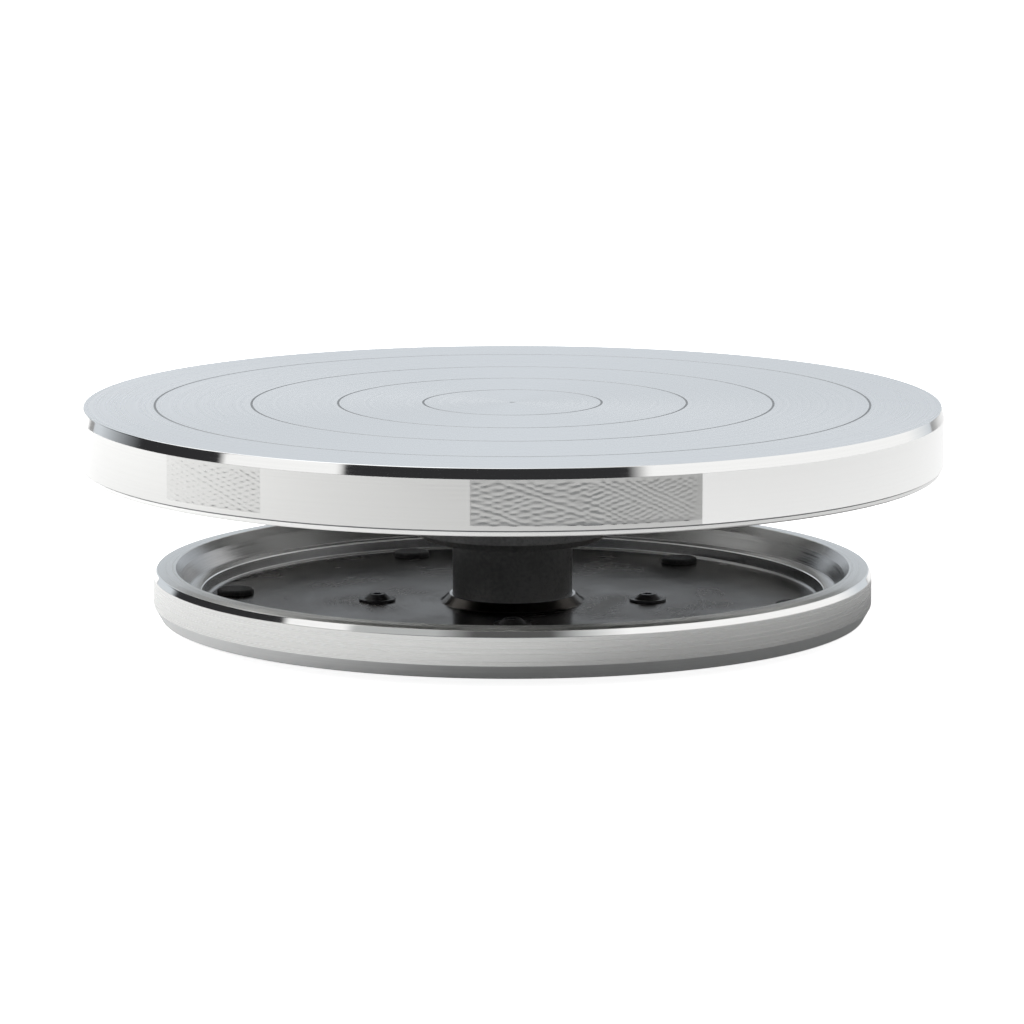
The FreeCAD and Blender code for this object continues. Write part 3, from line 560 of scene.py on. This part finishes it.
# %% Chatter on the band
# The sectors are counted in degrees from the front to the right, and SEAM is where the count starts.
# Each has its start and end, the softness of those ends in degrees, then its depth, its pitch up
# the band and its pitch round the band in mm. The margins keep the ripples off the band's edges.
SEAM = 106.0
TOP_MARGIN, FOOT_MARGIN, FADE_LENGTH = 0.2, 1.7, 0.8
CHATTER_SECTORS = [(-SEAM, -48, 2.0, 0.008, 2.5, 8.0), (-49.6, -33.1, 0.3, 0.110, 1.9, 5.0),
                   (-33.1, -12, 1.0, 0.006, 1.4, 30.0), (-14, -5.2, 0.5, 0.024, 1.6, 26.0),
                   (-5.2, 11, 0.3, 0.180, 2.1, 7.0), (7, 24.1, 2.0, 0.210, 1.8, 3.8),
                   (24.1, 104, 0.5, 0.002, 1.6, 30.0), (104, 150, 0.5, 0.150, 2.3, 7.0),
                   (150, 205, 0.5, 0.005, 1.6, 26.0), (205, 254, 1.0, 0.110, 2.2, 6.0)]


def degrees_from_front(angle):
    """An angle from +X turned into one from the front, counted to the right, from -SEAM on."""
    return (angle + 90.0 + SEAM) % 360.0 - SEAM


def slow_noise(values, seed):
    """A smooth wandering number between -1 and 1, made of a few sines."""
    total = np.zeros_like(values)
    for octave, weight in ((1.0, 0.5), (2.3, 0.3), (5.1, 0.2)):
        total += weight * np.sin(values * octave + seed * 1.7 * octave + octave * octave)
    return total


def ripple(along, up, pitch_up, pitch_round):
    """Two crossing sets of slanting waves, bent by slow noise, about a middle value of a half."""
    bend_one = 2.0 * slow_noise(along / 7.0 + up / 7.0, 1.0)
    bend_one += 0.7 * slow_noise(along / 3.1 - up / 5.0, 5.0)
    bend_two = 2.0 * slow_noise(along / 8.0 - up / 6.0, 3.0)
    bend_two += 0.7 * slow_noise(along / 3.6 + up / 4.5, 7.0)
    rising = np.sin(2 * math.pi * (along / pitch_round + up / pitch_up) + bend_one)
    falling = np.sin(2 * math.pi * (along / pitch_round * 0.87 - up / pitch_up * 1.06) + bend_two)
    lean = 0.5 + 0.35 * slow_noise(along / 5.0 + up / 2.2, 4.0)
    fine = np.sin(2 * math.pi * (along / 3.1 - up / 1.35) + bend_one)
    fine *= np.sin(2 * math.pi * up / 1.5 + bend_two)
    waves = rising * lean + falling * (1.0 - lean) + 0.3 * rising * falling + 0.2 * fine
    return waves / 3.0 + 0.5


def chatter(angles, radius, height, zone):
    """Change in the band's radius at each angle, in mm."""
    change = np.zeros_like(angles)
    if zone != "rim":
        return change
    top, bottom = PLATE_TOP / MM - STRIP_DEPTH, PLATE_TOP / MM - BAND_DEPTH
    from_top = (top - height - TOP_MARGIN) / FADE_LENGTH
    from_foot = (height - bottom - FOOT_MARGIN) / FADE_LENGTH
    fade = np.clip(min(from_top, from_foot), 0.0, 1.0)
    from_front = degrees_from_front(np.degrees(angles))
    for start, end, soft, depth, pitch_up, pitch_round in CHATTER_SECTORS:
        share = np.clip(np.minimum(from_front - start, end - from_front) / soft, 0.0, 1.0)
        change -= depth * share * ripple(angles * radius, height - bottom, pitch_up, pitch_round)
    return change * fade


PLATE_FINISHES = {"groove": groove_shade_metal, "face": face_metal, "edge": edge_metal, "rim": rim_metal,
                  "lip": lip_metal, "cast": cast_metal}
PLATE_COLUMNS = 1920
plate = spin("plate_turned", plate_profile(), PLATE_COLUMNS, PLATE_FINISHES, shape=chatter)

# %% [markdown]
# Where the cutter chattered the metal is rougher. In the dull sectors its colour is also made darker,
# and that darker colour is painted shade. The bright sector on the right is coloured paler than the
# rest of the band, which is a painted reflection. The ends of the sectors are sharp on the real
# piece, so the faces of each sector simply take another finish. A clean strip is left along the
# band's lower edge.

# %% Dull sectors with painted shade, and a bright sector with a painted reflection
# Dull sectors: rougher metal with painted shade in its colour. Bright sector: a painted reflection.
SECTOR_FINISHES = [(-49.6, -33.1, "grained"), (-5.2, 24.1, "dull_and_shaded"), (24.1, 104, "bright"),
                   (104, 150, "dull_and_shaded"), (205, 254, "grained")]
SECTOR_SLOTS = {}
for word, finish in (("dull_and_shaded", chatter_and_shade_metal), ("grained", grained_metal), ("bright", painted_reflection_rim_metal)):
    SECTOR_SLOTS[word] = len(plate.data.materials)
    plate.data.materials.append(finish)
rim_slot = list(PLATE_FINISHES).index("rim")
CLEAN_STRIP = 1.9
CLEAN_EDGE = PLATE_TOP - (BAND_DEPTH - CLEAN_STRIP) * MM
repainted = 0
for face in plate.data.polygons:
    if face.material_index != rim_slot:
        continue
    from_front = degrees_from_front(math.degrees(math.atan2(face.center.y, face.center.x)))
    for start, end, finish in SECTOR_FINISHES:
        if start <= from_front < end and (finish == "bright" or face.center.z > CLEAN_EDGE):
            face.material_index = SECTOR_SLOTS[finish]
            repainted += 1
print("band faces with a sector finish:", repainted)

# %% [markdown]
# Eight thin ribs stiffen the web from below. Each is a tapered bar with softened edges, sunk a
# little into the web and the skirt so that the casting reads as one piece.

# %% Ribs under the plate
RIB_COUNT, RIB_WIDTH, RIB_DEPTH, RIB_DRAFT = 8, 4.0, 6.0, 0.5
BAR_BEVEL, BAR_SINK = 0.5, 1.0


def add_bars(piece, count, low, high, half_width, draft, inner, outer, slot):
    """Join evenly spaced radial bars, with slanted sides and bevelled edges, onto a turned piece."""
    mesh = piece.data
    work = bmesh.new()
    work.from_mesh(mesh)
    for index in range(count):
        turn = 2 * math.pi * index / count
        along = Vector((math.cos(turn), math.sin(turn), 0))
        across = Vector((-math.sin(turn), math.cos(turn), 0))
        corners = []
        for height, half in ((low, half_width), (high, half_width + draft)):
            for reach, side in ((inner, -1), (outer, -1), (outer, 1), (inner, 1)):
                place = (along * reach + across * side * half) * MM
                corners.append(work.verts.new((place.x, place.y, height * MM)))
        faces = [corners[3::-1], corners[4:8]]
        for i in range(4):
            j = (i + 1) % 4
            faces.append([corners[i], corners[j], corners[j + 4], corners[i + 4]])
        made = [work.faces.new(face) for face in faces]
        for face in made:
            face.material_index = slot
            face.smooth = True
        edges = list({edge for face in made for edge in face.edges})
        bmesh.ops.bevel(work, geom=edges, offset=BAR_BEVEL * MM, segments=2, affect="EDGES", material=slot)
    work.to_mesh(mesh)
    work.free()
    print(f"{piece.name}: {count} bars added")


WEB_BOTTOM = PLATE_TOP / MM - WEB
add_bars(plate, RIB_COUNT, WEB_BOTTOM - RIB_DEPTH, WEB_BOTTOM + BAR_SINK, RIB_WIDTH / 2 - 0.4, RIB_DRAFT,
         FLANGE_RADIUS / MM - BAR_SINK, PLATE_RADIUS / MM - SKIRT + BAR_SINK,
         list(PLATE_FINISHES).index("cast"))
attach(plate, "turntable")
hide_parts("turntable_plate")

# %% [markdown]
# ## The base
# The base is a shallow dish. From the outside in it has a lower chamfer that lifts it off the
# table by eye, an upright satin band, a steep polished bevel, a satin rim that climbs gently
# inwards to a crest, a slanted wall, a narrow ledge and then the floor. In the middle a low
# collar flares out round the post. All of it is turned, so it's one profile again.

# %% Base profile
BAND_TOP, BAND_FOOT, FOOT_RADIUS, RING_INNER = 17.4, 7.6, 124.5, 112.0
SHOULDER, CROWN, CREST_RADIUS, WALL_TOP = (126.0, 19.6), (123.4, 20.0), 119.3, (117.4, 17.2)
LEDGE_OUTER, LEDGE_INNER, LEDGE_HEIGHT = 115.0, 110.0, 11.6
DISH_EDGE, DISH_FLOOR, DISH_UNDERSIDE = 109.5, 7.0, 4.5
COLLAR_BORE, COLLAR_TOP_RADIUS, COLLAR_TOP, COLLAR_FOOT = 21.3, 22.4, 9.8, 25.5


def base_profile():
    """The base's section from the collar out over the dish and the rim, and back under the foot."""
    radius, top, bottom = BASE_RADIUS / MM, BASE_TOP / MM, BASE_BOTTOM / MM
    return rounded_profile([
        (COLLAR_BORE, DISH_UNDERSIDE, 0, "bore"), (COLLAR_BORE, COLLAR_TOP, 0.15, "collar"),
        (COLLAR_TOP_RADIUS, COLLAR_TOP, 0.3, "dish"), (COLLAR_FOOT, DISH_FLOOR, 1.2, "dish"),
        (70.0, DISH_FLOOR, 0, "dish"), (DISH_EDGE, DISH_FLOOR, 1.2, "wall"),
        (LEDGE_INNER, LEDGE_HEIGHT, 0.4, "ledge"), (LEDGE_OUTER, LEDGE_HEIGHT, 0.5, "wall"),
        (*WALL_TOP, 0.4, "wall"), (CREST_RADIUS, top, 0.4, "rim"), (*CROWN, 6.0, "rim"),
        (*SHOULDER, 0.5, "shoulder"), (radius, BAND_TOP, 0.5, "band"), (radius, BAND_FOOT, 0.3, "foot"),
        (FOOT_RADIUS, bottom, 0.4, "foot"), (RING_INNER, bottom, 0.4, "foot"),
        (RING_INNER, DISH_UNDERSIDE, 0, "foot")])


dish_metal = turned_metal("dish_floor_metal", (0.165, 0.150, 0.138), (0.045, 0.042, 0.039), 0.12, 0.32,
                          0.7, 0.005, clouds=0.8, cloud_scale=45.0, grazing=0.68)
wall_metal = turned_metal("dish_wall_metal", (0.46, 0.46, 0.46), (0.38, 0.38, 0.38), 0.16, 0.26, 1.0, 0.004)
band_metal = turned_metal("base_band_metal", (0.70, 0.70, 0.69), (0.65, 0.65, 0.64), 0.22, 0.30, 1.2, 0.001)
foot_metal = turned_metal("base_chamfer_metal", (0.62, 0.625, 0.625), (0.53, 0.535, 0.535), 0.30, 0.42,
                          1.0, 0.006)
BASE_FINISHES = {"bore": cast_metal, "collar": wall_metal, "dish": dish_metal, "wall": wall_metal,
                 "ledge": edge_metal, "rim": satin_rim_metal, "shoulder": edge_metal,
                 "band": band_metal, "foot": foot_metal}
BASE_COLUMNS = 720
base = spin("base_turned", base_profile(), BASE_COLUMNS, BASE_FINISHES, closed=True)
BASE_RIB_COUNT, BASE_RIB_WIDTH, BASE_RIB_START, BASE_RIB_DRAFT = 6, 3.6, 60.0, 0.3
add_bars(base, BASE_RIB_COUNT, BASE_BOTTOM / MM, DISH_UNDERSIDE + 0.8, BASE_RIB_WIDTH / 2, BASE_RIB_DRAFT,
         BASE_RIB_START, RING_INNER + BAR_SINK, list(BASE_FINISHES).index("band"))
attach(base, "base")
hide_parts("base_casting")

# %% [markdown]
# ## Black parts and fixings
# The hub flange, the post and the screws are blackened steel and keep their shapes from the
# model. A black finish is never one flat value: it has a faint grain and slow cloudy changes.

# %% Black finishes


def black_finish(name, deep, worn, smooth, rough, grain, lift):
    """Black coated metal: fine grain, slow cloudy changes, and a slightly paler skin on rubbed spots."""
    material, tree, shader = start_material(name, deep, 0.0, rough)
    shader.inputs["Specular IOR Level"].default_value = 0.5
    place = node_of(tree, "ShaderNodeTexCoord", (-1100, 0))
    fine = node_of(tree, "ShaderNodeTexNoise", (-880, 120))
    fine.inputs["Scale"].default_value = grain
    fine.inputs["Detail"].default_value = 5.0
    slow = node_of(tree, "ShaderNodeTexNoise", (-880, -160))
    slow.inputs["Scale"].default_value = 35.0
    slow.inputs["Detail"].default_value = 3.0
    for noise in (fine, slow):
        tree.links.new(place.outputs["Object"], noise.inputs["Vector"])
    both = node_of(tree, "ShaderNodeMath", (-660, 0), operation="MULTIPLY")
    tree.links.new(fine.outputs[0], both.inputs[0])
    tree.links.new(slow.outputs[0], both.inputs[1])
    spread = node_of(tree, "ShaderNodeMapRange", (-460, 0))
    spread.inputs["From Min"].default_value = 0.15
    spread.inputs["From Max"].default_value = 0.42
    tree.links.new(both.outputs[0], spread.inputs["Value"])
    tone = node_of(tree, "ShaderNodeMix", (-240, 140), data_type="RGBA")
    tone.inputs["A"].default_value = (*deep, 1.0)
    tone.inputs["B"].default_value = (*worn, 1.0)
    tree.links.new(spread.outputs[0], tone.inputs["Factor"])
    tree.links.new(tone.outputs["Result"], shader.inputs["Base Color"])
    gloss = node_of(tree, "ShaderNodeMapRange", (-240, -120))
    gloss.inputs["To Min"].default_value = rough
    gloss.inputs["To Max"].default_value = smooth
    tree.links.new(spread.outputs[0], gloss.inputs["Value"])
    tree.links.new(gloss.outputs[0], shader.inputs["Roughness"])
    bump = node_of(tree, "ShaderNodeBump", (-240, -360))
    bump.inputs["Distance"].default_value = lift * MM
    tree.links.new(fine.outputs[0], bump.inputs["Height"])
    tree.links.new(bump.outputs[0], shader.inputs["Normal"])
    return material


hub_black = black_finish("hub_black_coat", (0.105, 0.106, 0.107), (0.190, 0.191, 0.192), 0.24, 0.36,
                         900.0, 0.004)
screw_black = black_finish("screw_black_oxide", (0.010, 0.010, 0.011), (0.030, 0.030, 0.031), 0.30, 0.45,
                           1500.0, 0.003)
rubber_black = black_finish("foot_rubber_black", (0.012, 0.012, 0.012), (0.030, 0.030, 0.030), 0.62, 0.78,
                            1200.0, 0.010)
seal_black = black_finish("seal_rubber_black", (0.016, 0.016, 0.016), (0.035, 0.035, 0.035), 0.55, 0.70,
                          1600.0, 0.006)
ground_metal = turned_metal("ground_steel_metal", (0.60, 0.61, 0.62), (0.50, 0.51, 0.52), 0.18, 0.28,
                            4.0, 0.002)
race_metal = turned_metal("bearing_steel_metal", (0.72, 0.73, 0.75), (0.64, 0.65, 0.67), 0.08, 0.16,
                          5.0, 0.001)
pressed_metal = turned_metal("pressed_sheet_metal", (0.56, 0.57, 0.58), (0.46, 0.47, 0.48), 0.22, 0.34,
                             1.5, 0.004, clouds=0.6)
spring_metal = turned_metal("spring_steel_metal", (0.26, 0.27, 0.29), (0.18, 0.19, 0.21), 0.30, 0.40,
                            3.0, 0.002, clouds=0.4)
print("finishes so far:", len(bpy.data.materials))

# %% [markdown]
# Each remaining node of the model now gets the finish that the real piece has.

# %% Finishes for the nodes that keep their shape
FINISHES = {
    "hub_flange": hub_black, "hub_post": hub_black, "flange_screws": screw_black, "post_screws": screw_black,
    "spindle": ground_metal, "inner_spacer": ground_metal, "outer_spacer": ground_metal,
    "spindle_clip": spring_metal, "bore_clip": spring_metal, "wave_washer": spring_metal,
    "dust_seal": seal_black, "bottom_cap": pressed_metal,
}
for place in ("lower", "upper"):
    for ring in ("inner_ring", "outer_ring", "balls"):
        FINISHES[f"{place}_bearing_{ring}"] = race_metal
    for sheet_part in ("cage", "shields"):
        FINISHES[f"{place}_bearing_{sheet_part}"] = pressed_metal
for index in range(1, 7):
    FINISHES[f"rubber_foot_{index}"] = rubber_black
for node, finish in FINISHES.items():
    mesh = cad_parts[node].data
    if not mesh.materials:
        mesh.materials.append(finish)
    for slot in range(len(mesh.materials)):
        mesh.materials[slot] = finish
print(len(FINISHES), "nodes finished")
